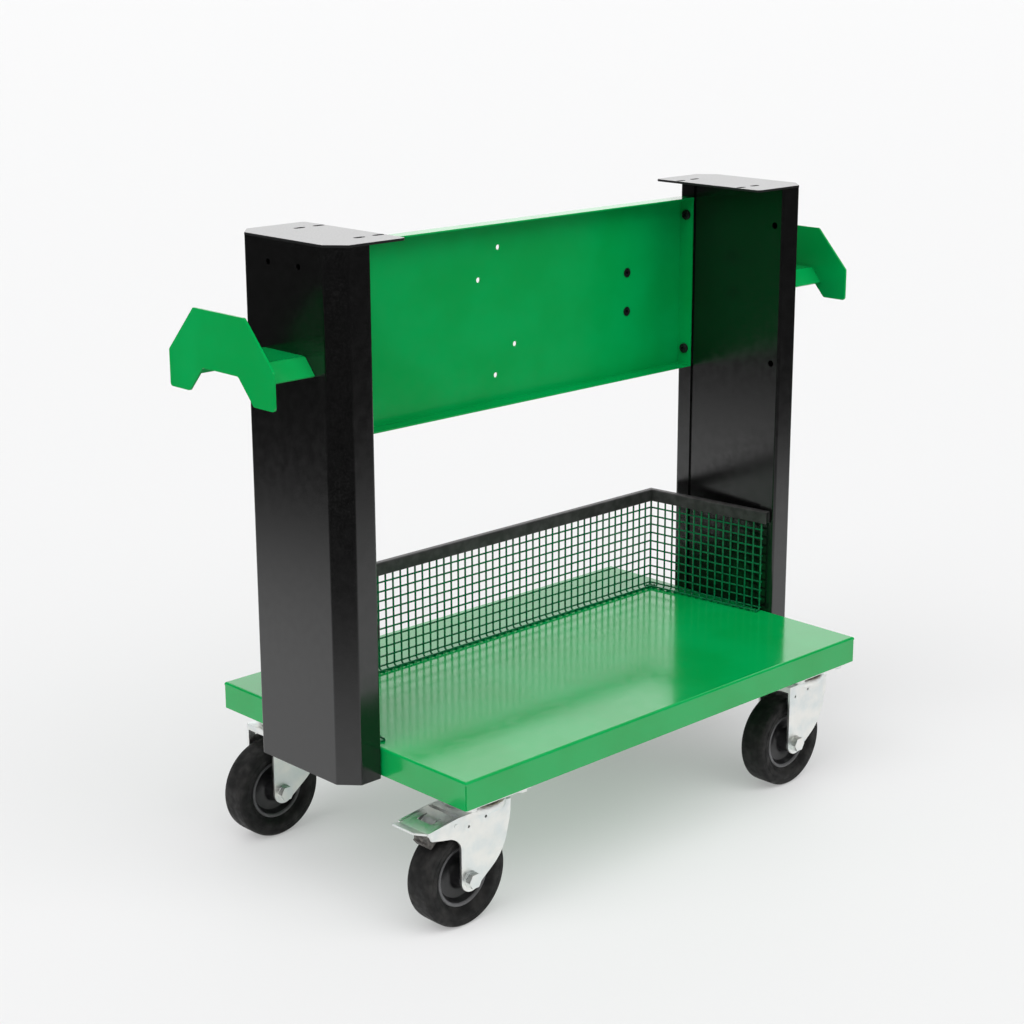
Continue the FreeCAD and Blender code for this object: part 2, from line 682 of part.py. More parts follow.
def fork(braked):
    """Pressed fork: two legs, the crown between them and the lower ball track."""
    legs = []
    for y0 in (-LEG_OUT, LEG_OUT - LEG_T):
        leg = prism_xz(leg_outline(), y0, y0 + LEG_T)
        bends = [V(x, 0, z) for x, z in (LEG_SHOULDER, LEG_ELBOW)]
        leg = round_edges(leg, Y_AXIS, bends, LEG_BEND)
        boss = cylinder(BOSS_R, V(-TRAIL, y0, WHEEL_R), V(-TRAIL, y0 + LEG_T, WHEEL_R))
        leg = leg.fuse(boss)
        if braked:
            leg = leg.fuse(prism_xz(EAR_OUTLINE, y0, y0 + LEG_T))
        legs.append(leg)
    crown = box(LEG_LEFT, LEG_RIGHT, -LEG_OUT, LEG_OUT, CROWN_TOP - CROWN_T, CROWN_TOP)
    disc = cylinder(CUP_OUT, V(0, 0, CROWN_TOP - CROWN_T), V(0, 0, CROWN_TOP))
    ring = tube(CUP_OUT, CUP_IN - 1, V(0, 0, CROWN_TOP), V(0, 0, CROWN_TOP + CROWN_RING))
    apron = box(LEG_LEFT, LEG_LEFT + LEG_T, -LEG_OUT, LEG_OUT, APRON_BOTTOM, CROWN_TOP)
    body = crown.fuse(legs + [disc, ring, apron]).removeSplitter()
    body = body.cut(cylinder(KING_R + 0.4, V(0, 0, CROWN_TOP - 5), V(0, 0, CROWN_TOP + 5)))
    holes = [(-TRAIL, WHEEL_R, AXLE_HOLE_R)] + [(x, z, LEG_HOLE_R) for x, z in LEG_HOLES]
    if braked:
        holes.append((PEDAL_X, PEDAL_Z, PEDAL_PIN_R + RUN_GAP))
    for x, z, radius in holes:
        body = body.cut(cylinder(radius, V(x, -LEG_OUT - 1, z), V(x, LEG_OUT + 1, z)))
    return body


def axle():
    """Axle bolt with its two washers, nut and the sleeve that the hub turns on."""
    def at(y):
        return V(-TRAIL, y, WHEEL_R)

    seat = LEG_OUT + WASHER_T
    screw = bolt(at(-seat), Y_AXIS, AXLE_R, 2 * seat + AXLE_NUT + 1.5, AXLE_FLATS, AXLE_HEAD)
    lock = nut(at(seat), Y_AXIS, AXLE_R, AXLE_FLATS, AXLE_NUT)
    washers = [tube(WASHER_R, AXLE_R + THREAD_GAP, at(y), at(y + WASHER_T)) for y in (-seat, LEG_OUT)]
    sleeve = tube(SLEEVE_R, AXLE_R + THREAD_GAP, at(-SLEEVE_HALF), at(SLEEVE_HALF))
    return Part.makeCompound([screw, lock, sleeve] + washers)


def both_faces(half):
    """Closed (radius, offset) profile from the half of it at positive offsets."""
    return half + [(r, -offset) for r, offset in half[::-1]]


def rim():
    """Moulded wheel centre: hub, thin web and the band that the tyre sits on."""
    return revolve_y(both_faces(RIM_HALF), -TRAIL, 0, WHEEL_R)


def tyre():
    """Solid rubber tyre with a slightly crowned tread and rounded shoulders."""
    return revolve_y(both_faces(TYRE_HALF), -TRAIL, 0, WHEEL_R)


def pedal_plan():
    """Plan outline of the pedal: straight sides, then a nose that narrows to rounded corners."""
    root, crease, tip = PEDAL_ROOT[0], PEDAL_CREASE[0], PEDAL_TIP[0]
    right = [(root, PEDAL_HALF), (crease, PEDAL_HALF), (tip, PEDAL_NOSE)]
    left = [(x, -y) for x, y in right]
    plan = prism_xy(right + left[::-1], BOSS_R, PLATE_BOTTOM)
    corners = [V(tip, side * PEDAL_NOSE, 0) for side in (-1, 1)]
    return round_edges(plan, Z_AXIS, corners, PEDAL_CORNER)


def pedal_slope():
    """Height that the flat of the pedal gains per unit along X."""
    return (PEDAL_ROOT[1] - PEDAL_CREASE[1]) / (PEDAL_ROOT[0] - PEDAL_CREASE[0])


def on_pedal(x, depth):
    """Point of the pedal's side view at a given x, some way under its top face."""
    return x, PEDAL_CREASE[1] + (x - PEDAL_CREASE[0]) * pedal_slope() - depth


def brake_pedal():
    """Pedal between the fork's ears: a sloping flat, a raised nose, a tongue and two cheeks."""
    outer, inner = strip([PEDAL_ROOT, PEDAL_CREASE, PEDAL_TIP], PEDAL_T)
    flat = prism_xz(outer + inner[::-1], -PEDAL_HALF, PEDAL_HALF).common(pedal_plan())
    x0, x1, half = PEDAL_WINDOW
    flat = flat.cut(box(x0, x1, -half, half, PEDAL_Z, PLATE_BOTTOM))
    bend = on_pedal(x1 - TONGUE_BEND, 0)
    outer, inner = strip([on_pedal(x1 + 1, 0), bend, TONGUE_END], PEDAL_T)
    pieces = [prism_xz(outer + inner[::-1], -TONGUE_HALF, TONGUE_HALF)]
    for y0 in (-PEDAL_HALF, PEDAL_HALF - PEDAL_T):
        pieces.append(prism_xz(PEDAL_CHEEK, y0, y0 + PEDAL_T))
    body = flat.fuse(pieces).removeSplitter()
    start, end = V(PEDAL_X, -PEDAL_HALF - 1, PEDAL_Z), V(PEDAL_X, PEDAL_HALF + 1, PEDAL_Z)
    return body.cut(cylinder(PEDAL_PIN_R, start, end))


def pedal_pin():
    end = LEG_OUT + 0.5
    radius = PEDAL_PIN_R - 0.02
    return cylinder(radius, V(PEDAL_X, -end, PEDAL_Z), V(PEDAL_X, end, PEDAL_Z))


def brake_shoe():
    """Pad that meets the tread, on a flat stem that hangs from the pedal."""
    face = WHEEL_R + SHOE_GAP
    pad = box(face, face + SHOE_T, -SHOE_HALF_W, SHOE_HALF_W, -SHOE_HALF_L, SHOE_HALF_L)
    pad.rotate(V(0, 0, 0), Y_AXIS, -SHOE_ANGLE)
    pad.translate(V(-TRAIL, 0, WHEEL_R))
    x0, x1 = STEM_X
    depth = PEDAL_T * math.hypot(1, pedal_slope())
    section = [(x0, STEM_BOTTOM), on_pedal(x0, depth), on_pedal(x1, depth), (x1, STEM_BOTTOM)]
    stem = prism_xz(section, -SHOE_HALF_W, SHOE_HALF_W)
    return pad.fuse(stem).removeSplitter()


# ---- build ------------------------------------------------------------------------------
def write(name, shape):
    shape.exportStep(os.path.join("parts", name + ".step"))


def write_pair(name, left):
    write(name + "_left", left)
    write(name + "_right", mirrored(left))


def write_caster(name, x, y):
    braked = name in BRAKED
    pieces = {
        "caster_plate": caster_plate(),
        "kingpin": kingpin(),
        "fork": fork(braked),
        "ball_race": ball_race(),
        "axle": axle(),
        "rim": rim(),
        "tyre": tyre(),
    }
    if braked:
        pieces["brake_pedal"] = brake_pedal()
        pieces["pedal_pin"] = pedal_pin()
        pieces["brake_shoe"] = brake_shoe()
    for piece, shape in pieces.items():
        shape.translate(V(x, y, 0))
        write(piece + "_" + name, shape)


def main():
    os.makedirs("parts", exist_ok=True)
    write("deck", deck())
    write("tool_panel", tool_panel())
    write("panel_inserts", panel_inserts())
    write("panel_bolts", panel_bolts())
    write("m8_bolts", m8_bolts())
    write("m8_nuts", m8_nuts())
    write("hook_bolts", hook_bolts())
    write("guard_back", guard_back())
    for first, side in enumerate(("left", "back", "right")):
        write("trim_" + side, trim_piece(first))
    write_pair("caster_channel", caster_channel())
    write_pair("column", column())
    write_pair("column_cover", column_cover())
    write_pair("top_plate", top_plate())
    write_pair("guard", guard_left())
    write_pair("hook_plate", hook_plate())
    write_pair("hook_saddle", hook_saddle())
    for name, (x, y) in CASTERS.items():
        write_caster(name, x, y)


main()
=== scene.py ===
import json
import math

import bpy
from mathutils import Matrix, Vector


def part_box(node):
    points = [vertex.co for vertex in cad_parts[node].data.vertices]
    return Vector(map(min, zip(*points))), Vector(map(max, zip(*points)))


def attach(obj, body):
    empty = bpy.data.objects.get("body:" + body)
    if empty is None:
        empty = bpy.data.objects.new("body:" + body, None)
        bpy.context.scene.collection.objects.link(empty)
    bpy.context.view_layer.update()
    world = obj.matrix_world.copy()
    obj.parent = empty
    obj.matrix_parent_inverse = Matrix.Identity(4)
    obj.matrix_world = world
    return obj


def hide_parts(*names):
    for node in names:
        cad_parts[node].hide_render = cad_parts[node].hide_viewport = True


# Looks of the workshop trolley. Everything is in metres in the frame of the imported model:
# X along the deck, +Y towards the tool panel, +Z up, origin on the floor.

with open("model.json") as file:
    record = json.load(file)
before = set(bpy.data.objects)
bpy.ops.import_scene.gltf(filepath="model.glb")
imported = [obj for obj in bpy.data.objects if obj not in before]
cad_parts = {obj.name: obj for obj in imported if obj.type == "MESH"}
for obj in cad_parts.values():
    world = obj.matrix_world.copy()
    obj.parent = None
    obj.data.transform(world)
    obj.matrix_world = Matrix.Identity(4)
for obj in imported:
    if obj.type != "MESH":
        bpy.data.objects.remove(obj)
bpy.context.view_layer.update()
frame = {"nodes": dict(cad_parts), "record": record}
NODES = frame["nodes"]
CASTERS = ("front_left", "front_right", "back_left", "back_right")
MM = 0.001

# ---- sizes of the detailed pieces -------------------------------------------------------
PITCH = 12.7 * MM
WIRE_R = 1.3 * MM
WIRE_SIDES = 8
WIRE_STEP = 1.7 * MM        # from the upright wires out to the level ones
WIRE_OVERHANG = 1.5 * MM
SIDE_COLS = 15
BACK_COLS = 52
GUARD_ROWS = 11
BACK_SHIFT = 0.2 * MM
FRONT_INSET = 1.6 * MM
FLANGE_RUN = 10.5 * MM
FLANGE_BEND = 3.5 * MM
TRIM_WALL = 1.5 * MM
TRIM_ROUND = 2.2 * MM
TURN_STEPS = 96
EDGE = 0.6 * MM
EDGE_STEPS = 2
EDGE_ANGLE = 28
WELD_REACH = 0.01 * MM
BALLS = 26
BALL_STEPS = 12
STEEP = 0.9
PLAIN_EDGED = ("deck", "column", "tool_panel", "top_plate", "caster_channel")

# Half sections of the wheel, as (radius, distance from the middle) in millimetres.
TYRE_SIDE = ((38.75, 12.0), (39.6, 12.9), (41.4, 13.6), (43.0, 15.4), (45.2, 17.4),
             (47.4, 18.4), (50.2, 18.75), (52.2, 18.7), (52.8, 18.2), (53.6, 18.3))
DISH_HALF = ((7.6, 22.0), (12.6, 22.0), (13.6, 21.0), (15.0, 7.5), (16.6, 5.2), (19.5, 3.8),
             (27.0, 3.4), (30.0, 4.0), (31.8, 6.0), (33.0, 9.0), (34.2, 10.6))
LIP_HALF = ((34.1, 10.4), (34.6, 11.9), (35.4, 12.6), (37.0, 12.8), (38.2, 12.5),
            (38.7, 11.8))
SHOULDER_R = 3.4 * MM
SHOULDER_DROP = 4.6 * MM
SHOULDER_INSET = 3.6 * MM
TREAD_EDGE = ((0.7, 3.0), (0.3, 3.8))   # (drop under the tread, distance from the face)
TREAD_FLAT = (10.0, 3.0)                # distances from the middle

# The balls' cage, in from and out from the ring of balls, and under and over its middle.
CAGE_IN = 1.4 * MM
CAGE_OUT = 1.8 * MM
CAGE_UNDER = 1.6 * MM
CAGE_OVER = 1.2 * MM


# ---- mesh helpers -----------------------------------------------------------------------
def make_object(name, verts, faces, sharp=30):
    """Mesh object with smooth shading, except over edges sharper than an angle in degrees."""
    mesh = bpy.data.meshes.new(name)
    mesh.from_pydata([tuple(v) for v in verts], [], faces)
    mesh.validate()
    piece = bpy.data.objects.new(name, mesh)
    bpy.context.scene.collection.objects.link(piece)
    mesh.shade_smooth()
    mesh.set_sharp_from_angle(angle=math.radians(sharp))
    return piece


def loft(rings, closed_ends=True, closed_loop=False):
    """Vertices and faces of a skin over rings of points with equal counts."""
    verts = [point for ring in rings for point in ring]
    count = len(rings[0])
    faces = []
    pairs = len(rings) if closed_loop else len(rings) - 1
    for i in range(pairs):
        a = i * count
        b = ((i + 1) % len(rings)) * count
        for j in range(count):
            k = (j + 1) % count
            faces.append((a + j, a + k, b + k, b + j))
    if closed_ends and not closed_loop:
        faces.append(tuple(range(count))[::-1])
        last = (len(rings) - 1) * count
        faces.append(tuple(range(last, last + count)))
    return verts, faces


def join_parts(parts):
    """One vertex list and one face list from several."""
    verts, faces = [], []
    for part_verts, part_faces in parts:
        start = len(verts)
        verts += part_verts
        faces += [tuple(start + i for i in face) for face in part_faces]
    return verts, faces


def tube(points, radius):
    """Round wire along a polyline."""
    points = [Vector(p) for p in points]
    side = Vector((0, 0, 1))
    first = points[1] - points[0]
    if abs(first.normalized().z) > STEEP:
        side = Vector((1, 0, 0))
    rings = []
    for i, point in enumerate(points):
        ahead = points[min(i + 1, len(points) - 1)] - point
        behind = point - points[max(i - 1, 0)]
        along = (ahead.normalized() + behind.normalized()).normalized()
        u = along.cross(side).normalized()
        v = u.cross(along).normalized()
        side = v
        ring = []
        for j in range(WIRE_SIDES):
            angle = 2 * math.pi * j / WIRE_SIDES
            ring.append(point + radius * (math.cos(angle) * u + math.sin(angle) * v))
        rings.append(ring)
    return loft(rings)


def turned(profile, centre):
    """Closed (radius, offset along Y) profile turned about the Y axis through a centre."""
    rings = []
    for i in range(TURN_STEPS):
        angle = 2 * math.pi * i / TURN_STEPS
        c, s = math.cos(angle), math.sin(angle)
        rings.append([Vector((centre.x + r * c, centre.y + y, centre.z + r * s))
                      for r, y in profile])
    return loft(rings, closed_loop=True)


def turned_z(profile, centre):
    """Closed (radius, height) profile turned about the Z axis through a centre."""
    rings = []
    for i in range(TURN_STEPS):
        angle = 2 * math.pi * i / TURN_STEPS
        c, s = math.cos(angle), math.sin(angle)
        rings.append([Vector((centre.x + r * c, centre.y - r * s, centre.z + z))
                      for r, z in profile])
    return loft(rings, closed_loop=True)


def both_faces(half):
    """Closed profile from the half of it at positive offsets."""
    return half + [(r, -y) for r, y in half[::-1]]


def arc(centre, radius, start, end, steps=6):
    """Points (a, b) on a circular arc between two angles in degrees."""
    points = []
    for i in range(steps + 1):
        angle = math.radians(start + (end - start) * i / steps)
        points.append((centre[0] + radius * math.cos(angle),
                       centre[1] + radius * math.sin(angle)))
    return points


def in_metres(points):
    """Profile in metres from one in millimetres."""
    return [(r * MM, y * MM) for r, y in points]


def ball(centre, radius):
    """Round lump."""
    rings = []
    for i in range(1, BALL_STEPS):
        tilt = math.pi * i / BALL_STEPS
        ring = []
        for j in range(BALL_STEPS):
            turn = 2 * math.pi * j / BALL_STEPS
            ring.append(centre + radius * Vector((math.sin(tilt) * math.cos(turn),
                                                  math.sin(tilt) * math.sin(turn),
                                                  math.cos(tilt))))
        rings.append(ring)
    return loft(rings)


def bevel(piece):
    """Rounded edges, so that each fold and cut edge catches light."""
    weld = piece.modifiers.new("weld", "WELD")
    weld.merge_threshold = WELD_REACH
    rounding = piece.modifiers.new("edges", "BEVEL")
    rounding.width = EDGE
    rounding.segments = EDGE_STEPS
    rounding.limit_method = "ANGLE"
    rounding.angle_limit = math.radians(EDGE_ANGLE)
    rounding.harden_normals = True


# ---- materials --------------------------------------------------------------------------
def shader_of(material):
    return material.node_tree.nodes["Principled BSDF"]


def new_material(name, color, roughness, metallic=0.0, specular=0.5):
    """Material with plain constants, which the functions below may vary over the surface."""
    material = bpy.data.materials.new(name)
    material.use_nodes = True
    shader = shader_of(material)
    shader.inputs["Base Color"].default_value = (*color, 1)
    shader.inputs["Roughness"].default_value = roughness
    shader.inputs["Metallic"].default_value = metallic
    shader.inputs["Specular IOR Level"].default_value = specular
    return material


def noise(material, scale, detail=3.0, stretch=(1, 1, 1)):
    """Noise in object space, with about this many cells per metre."""
    tree = material.node_tree
    place = tree.nodes.new("ShaderNodeTexCoord")
    mapping = tree.nodes.new("ShaderNodeMapping")
    mapping.inputs["Scale"].default_value = [scale * s for s in stretch]
    texture = tree.nodes.new("ShaderNodeTexNoise")
    texture.inputs["Scale"].default_value = 1.0
    texture.inputs["Detail"].default_value = detail
    tree.links.new(place.outputs["Object"], mapping.inputs["Vector"])
    tree.links.new(mapping.outputs["Vector"], texture.inputs["Vector"])
    return texture.outputs["Fac"]


def ramp(material, value, low, high, out_low, out_high):
    """Value mapped smoothly from one range to another."""
    tree = material.node_tree
    node = tree.nodes.new("ShaderNodeMapRange")
    node.interpolation_type = "SMOOTHSTEP"
    for socket, number in (("From Min", low), ("From Max", high),
                           ("To Min", out_low), ("To Max", out_high)):
        node.inputs[socket].default_value = number
    tree.links.new(value, node.inputs["Value"])
    return node.outputs["Result"]


def blend_colors(material, factor, first, second):
    """Colour between two colours or colour outputs, by a factor."""
    tree = material.node_tree
    node = tree.nodes.new("ShaderNodeMix")
    node.data_type = "RGBA"
    tree.links.new(factor, node.inputs["Factor"])
    sockets = [s for s in node.inputs if s.type == "RGBA"]
    for socket, color in zip(sockets, (first, second)):
        if isinstance(color, tuple):
            socket.default_value = (*color, 1)
        else:
            tree.links.new(color, socket)
    return [s for s in node.outputs if s.type == "RGBA"][0]


def connect(material, output, socket):
    """Link from a node's output to a named socket of the shader."""
    material.node_tree.links.new(output, shader_of(material).inputs[socket])


def mottle(material, scale, window, first, second, detail=3.0):
    """Base colour between two colours, which change over where noise crosses a window."""
    patches = ramp(material, noise(material, scale, detail), *window, 0, 1)
    connect(material, blend_colors(material, patches, first, second), "Base Color")


def vary_roughness(material, scale, low, high):
    connect(material, ramp(material, noise(material, scale), 0.3, 0.7, low, high), "Roughness")


def relief(material, scale, strength, depth, detail=3.0, stretch=(1, 1, 1)):
    """Fine surface relief of a depth in metres."""
    tree = material.node_tree
    node = tree.nodes.new("ShaderNodeBump")
    node.inputs["Strength"].default_value = strength
    node.inputs["Distance"].default_value = depth
    tree.links.new(noise(material, scale, detail, stretch), node.inputs["Height"])
    connect(material, node.outputs["Normal"], "Normal")


def green_coat():
    """Gloss powder coat with orange peel and faint cloudiness."""
    material = new_material("green_powder_coat", (0.0, 0.33, 0.07), 0.2, specular=0.65)
    mottle(material, 9, (0.35, 0.65), (0.0, 0.315, 0.062), (0.0, 0.345, 0.076))
    vary_roughness(material, 60, 0.12, 0.17)
    relief(material, 330, 0.35, 0.07 * MM, 2.0)
    return material


def wire_coat_painted_shade():
    """The green coat as a darker copy on the welded wires: painted shade."""
    material = new_material("green_wire_painted_shade", (0.0, 0.14, 0.04), 0.24)
    mottle(material, 220, (0.35, 0.65), (0.0, 0.085, 0.03), (0.0, 0.16, 0.05))
    relief(material, 900, 0.3, 0.05 * MM, 2.0)
    return material


def black_coat():
    """Satin black powder coat with a fine grain."""
    material = new_material("black_powder_coat", (0.008, 0.008, 0.008), 0.3, specular=0.85)
    mottle(material, 520, (0.45, 0.72), (0.001, 0.001, 0.001), (0.007, 0.007, 0.007), 2.0)
    vary_roughness(material, 80, 0.17, 0.23)
    relief(material, 620, 0.4, 0.06 * MM, 2.0)
    return material


def plate_coat_with_painted_sheen():
    """Top plates: pale satin grey on faces that look up, black on the cut edges and underneath;
    the pale top is a painted sheen of the overhead light on black plates.
    """
    material = new_material("top_plate_painted_sheen_coat", (0.4, 0.4, 0.4), 0.42)
    tree = material.node_tree
    geometry = tree.nodes.new("ShaderNodeNewGeometry")
    parts = tree.nodes.new("ShaderNodeSeparateXYZ")
    tree.links.new(geometry.outputs["Normal"], parts.inputs["Vector"])
    # painted sheen: faces that look up are pale, the rest stays black
    top = ramp(material, parts.outputs["Z"], 0.6, 0.95, 0, 1)
    grain = ramp(material, noise(material, 420), 0.3, 0.7, 0, 1)
    pale = blend_colors(material, grain, (0.34, 0.34, 0.343), (0.41, 0.41, 0.41))
    connect(material, blend_colors(material, top, (0.008, 0.008, 0.008), pale), "Base Color")
    relief(material, 700, 0.3, 0.1 * MM, 2.0)
    return material


def trim_rubber():
    """Satin black edge trim with a soft, slightly dusty skin."""
    material = new_material("edge_trim", (0.03, 0.029, 0.029), 0.45)
    mottle(material, 90, (0.35, 0.7), (0.022, 0.021, 0.021), (0.045, 0.043, 0.043))
    relief(material, 500, 0.25, 0.1 * MM)
    return material


def zinc():
    """Bright zinc plate with a faint bluish and yellowish bloom and fine drawing lines."""
    material = new_material("zinc_plate", (0.76, 0.78, 0.77), 0.34, 1.0)
    mottle(material, 45, (0.3, 0.7), (0.79, 0.835, 0.83), (0.92, 0.92, 0.885))
    vary_roughness(material, 160, 0.28, 0.44)
    relief(material, 600, 0.12, 0.05 * MM, 2.0, (1, 1, 0.15))
    return material


def race_steel():
    """Greased bearing steel, brownish between the balls."""
    material = new_material("greased_race", (0.5, 0.42, 0.3), 0.3, 0.8)
    mottle(material, 140, (0.35, 0.6), (0.36, 0.23, 0.12), (0.75, 0.7, 0.55))
    return material


def black_oxide():
    """Black screws with an oiled sheen."""
    material = new_material("black_oxide", (0.012, 0.012, 0.014), 0.3, 0.4)
    vary_roughness(material, 300, 0.25, 0.42)
    relief(material, 1500, 0.1, 0.05 * MM)
    return material


def tyre_rubber():
    """Solid black rubber with a worn, slightly dusty tread."""
    material = new_material("tyre_rubber", (0.02, 0.02, 0.02), 0.6, specular=0.25)
    mottle(material, 70, (0.4, 0.75), (0.007, 0.007, 0.007), (0.024, 0.023, 0.022), 5.0)
    vary_roughness(material, 120, 0.5, 0.72)
    relief(material, 380, 0.3, 0.15 * MM, 4.0)
    return material


def rim_plastic():
    """Moulded dark grey plastic with a fine spark-eroded grain."""
    material = new_material("rim_plastic", (0.035, 0.035, 0.037), 0.42)
    mottle(material, 60, (0.3, 0.7), (0.075, 0.075, 0.077), (0.12, 0.12, 0.125))
    relief(material, 1200, 0.2, 0.05 * MM)
    return material


def dish_plastic_painted_shade():
    """A darker copy of the rim plastic, smooth, inside the dish: painted shade of the deep dish.
    """
    material = new_material("rim_dish_painted_shade", (0.012, 0.012, 0.013), 0.3)
    mottle(material, 60, (0.3, 0.7), (0.008, 0.008, 0.009), (0.02, 0.02, 0.021))
    relief(material, 1200, 0.2, 0.05 * MM)
    return material


def brake_rubber():
    """Dull dark block with rubbed faces."""
    material = new_material("brake_rubber", (0.035, 0.033, 0.031), 0.55)
    mottle(material, 200, (0.4, 0.7), (0.06, 0.055, 0.05), (0.16, 0.15, 0.135))
    return material


MATERIALS = {
    "green_coat": green_coat(),
    "black_coat": black_coat(),
    "black_trim": trim_rubber(),
    "zinc": zinc(),
    "race_ring": race_steel(),
    "black_screws": black_oxide(),
    "black_tyre": tyre_rubber(),
    "grey_rim": rim_plastic(),
    "brake_block": brake_rubber(),
}


def finish_piece(piece, slot, body, material=None):
    """Slot and body of a piece, in the slot's own material unless another is given."""
    piece.data.materials.append(material or MATERIALS[slot])
    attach(piece, body)


# ---- carried-over CAD nodes -------------------------------------------------------------
def dress_cad_nodes():
    """Each CAD node takes the material of its slot, the top plates a coat with a painted sheen on
    their tops, and small parts get rounded edges.
    """
    top_coat_with_painted_sheen = plate_coat_with_painted_sheen()
    for part in frame["record"]["subparts"]:
        node = NODES[part["node"]]
        if node.hide_render:
            continue
        material = MATERIALS[part["material_slot"]]
        if part["node"].startswith("top_plate"):
            # top plates take the coat with the painted sheen on their tops
            material = top_coat_with_painted_sheen
        node.data.materials.clear()
        node.data.materials.append(material)
        for polygon in node.data.polygons:
            polygon.material_index = 0
        if not part["node"].startswith(PLAIN_EDGED):
            bevel(node)


# ---- wire guard -------------------------------------------------------------------------
def guard_lines():
    """Plan points of the mesh: front left, back left, back right and front right."""
    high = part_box("guard_back")[1]
    corner_x = high.x - WIRE_R
    y = high.y - WIRE_STEP + BACK_SHIFT
    front_x = -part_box("guard_left")[0].x - FRONT_INSET
    length = SIDE_COLS * PITCH
    front_y = y - math.sqrt(length ** 2 - (front_x - corner_x) ** 2)
    return [Vector((-front_x, front_y, 0)), Vector((-corner_x, y, 0)),
            Vector((corner_x, y, 0)), Vector((front_x, front_y, 0))]


def wall_mesh(start, end, columns, inward, floor, top):
    """One welded mesh wall with its lowest row bent in over the deck."""
    along = (end - start).normalized()
    parts = []
    bend = arc((FLANGE_BEND, FLANGE_BEND), FLANGE_BEND, 180, 270, 4)
    for i in range(columns + 1):
        foot = start + along * (i * PITCH)
        line = [foot + Vector((0, 0, top))]
        for a, b in bend:
            line.append(foot + inward * a + Vector((0, 0, floor + b)))
        line.append(foot + inward * FLANGE_RUN + Vector((0, 0, floor)))
        parts.append(tube(line, WIRE_R))
    overhang = along * WIRE_OVERHANG
    for j in range(GUARD_ROWS + 1):
        height = floor + FLANGE_BEND + j * PITCH
        shift = Vector((0, 0, height)) - inward * WIRE_STEP
        if height < top:
            parts.append(tube([start - overhang + shift, end + overhang + shift], WIRE_R))
    rim = inward * (FLANGE_RUN - WIRE_R) + Vector((0, 0, floor + WIRE_STEP))
    parts.append(tube([start + rim, end + rim], WIRE_R))
    return join_parts(parts)


def wire_guard():
    """Three mesh walls, which share the corner lines of the plan."""
    plan = guard_lines()
    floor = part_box("deck")[1].z + WIRE_R
    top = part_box("trim_back")[1].z - 2 * TRIM_WALL
    # darker copy of the green coat on the wires: painted shade
    coat = wire_coat_painted_shade()
    walls = (("guard_left", SIDE_COLS), ("guard_back", BACK_COLS), ("guard_right", SIDE_COLS))
    for first, (node, columns) in enumerate(walls):
        start, end = plan[first], plan[first + 1]
        along = (end - start).normalized()
        inward = Vector((along.y, -along.x, 0))
        verts, faces = wall_mesh(start, end, columns, inward, floor, top)
        piece = make_object("mesh_" + node, verts, faces, 60)
        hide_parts(node)
        finish_piece(piece, "green_coat", "frame", coat)


# ---- guard trim -------------------------------------------------------------------------
def trim_section(width, height):
    """Inverted channel with rounded shoulders and lips, as (offset, height under the top)."""
    half = width / 2
    outer = [(half, -height)]
    outer += arc((half - TRIM_ROUND, -TRIM_ROUND), TRIM_ROUND, 0, 90)
    outer += arc((-half + TRIM_ROUND, -TRIM_ROUND), TRIM_ROUND, 90, 180)
    outer += [(-half, -height)]
    inner_half = half - TRIM_WALL
    inner = [(-inner_half, -height), (-inner_half, -TRIM_WALL), (inner_half, -TRIM_WALL),
             (inner_half, -height)]
    return outer + inner


def plan_offset(plan, i, offset):
    """Point i of a plan line moved sideways, with mitred corners."""
    directions = []
    if i > 0:
        directions.append((plan[i] - plan[i - 1]).normalized())
    if i < len(plan) - 1:
        directions.append((plan[i + 1] - plan[i]).normalized())
    normals = [Vector((-d.y, d.x, 0)) for d in directions]
    total = sum(normals, Vector((0, 0, 0)))
    return plan[i] + total * (offset / (total.dot(normals[0])))


def guard_trim():
    """Trim over the mesh, with each side run as long as its own node."""
    plan = guard_lines()
    low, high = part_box("trim_back")
    for node, end, near in (("trim_left", 0, 1), ("trim_right", 3, 2)):
        along = (plan[end] - plan[near]).normalized()
        reach = (plan[near].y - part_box(node)[0].y) / abs(along.y)
        plan[end] = plan[near] + along * reach
    section = trim_section(2 * (high.y - plan[1].y), high.z - low.z)
    for i, node in enumerate(("trim_left", "trim_back", "trim_right")):
        rings = []
        for station in (i, i + 1):
            rings.append([plan_offset(plan, station, a) + Vector((0, 0, high.z + b))
                          for a, b in section])
        verts, faces = loft(rings)
        piece = make_object("edge_" + node, verts, faces, 40)
        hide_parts(node)
        finish_piece(piece, "black_trim", "frame")


# ---- wheels -----------------------------------------------------------------------------
def tyre_profile(radius, half):
    """Half section of the tyre, from its bore over the side ring and shoulder to the tread."""
    points = in_metres(TYRE_SIDE)
    points += arc((radius - SHOULDER_DROP, half - SHOULDER_INSET), SHOULDER_R, 80, 24)
    points += [(radius - drop * MM, half - inset * MM) for drop, inset in TREAD_EDGE]
    points += [(radius, y * MM) for y in TREAD_FLAT]
    return both_faces(points)


def wheels():
    """Tyre, rim band and dished middle of each wheel."""
    # darker copy of the rim plastic for the dish: painted shade
    dark = dish_plastic_painted_shade()
    for name in CASTERS:
        low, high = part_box("tyre_" + name)
        centre = (low + high) / 2
        body = "wheel_" + name
        profile = tyre_profile((high.z - low.z) / 2, (high.y - low.y) / 2)
        tyre = make_object("solid_tyre_" + name, *turned(profile, centre))
        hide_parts("tyre_" + name)
        finish_piece(tyre, "black_tyre", body)
        lip = both_faces(in_metres(LIP_HALF))
        rim = make_object("moulded_rim_" + name, *turned(lip, centre), 35)
        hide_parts("rim_" + name)
        finish_piece(rim, "grey_rim", body)
        middle = both_faces(in_metres(DISH_HALF))
        # the dish takes the darker plastic: painted shade inside the dish
        dish = make_object("rim_dish_" + name, *turned(middle, centre), 35)
        finish_piece(dish, "grey_rim", body, dark)


